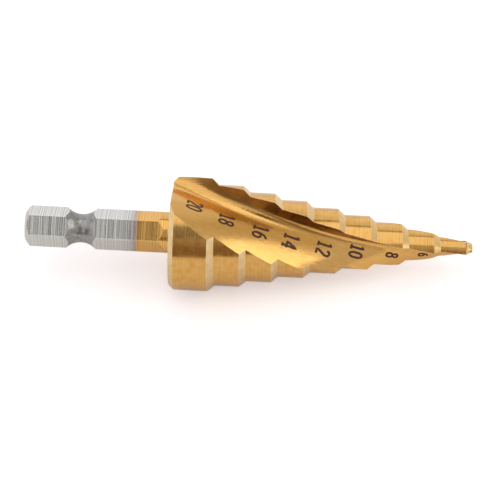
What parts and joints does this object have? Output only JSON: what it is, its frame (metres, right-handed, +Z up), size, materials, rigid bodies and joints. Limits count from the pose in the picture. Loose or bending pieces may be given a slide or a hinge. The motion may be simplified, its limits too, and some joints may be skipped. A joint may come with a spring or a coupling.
{
  "type": "step drill bit",
  "caption": "Stepped cone drill with twin right-hand spiral flutes, a gold-coloured coating and a hexagonal quick-change shank with a ball groove",
  "frame": {"origin": "centre of the footprint, on the surface the drill lies on", "axes": "+X along the drill towards its point, +Z up; the drill lies as it comes to rest, its point leaning down 3.8 degrees and its shank in the air"},
  "size_m": [0.0784, 0.0196, 0.0181],
  "materials": {
    "coated_steel": "fine-turned tool steel, gold-coloured coating on the cone, bare ground steel on the shank"
  },
  "bodies": {
    "root": {"step_drill": "coated_steel"}
  },
  "joints": []
}
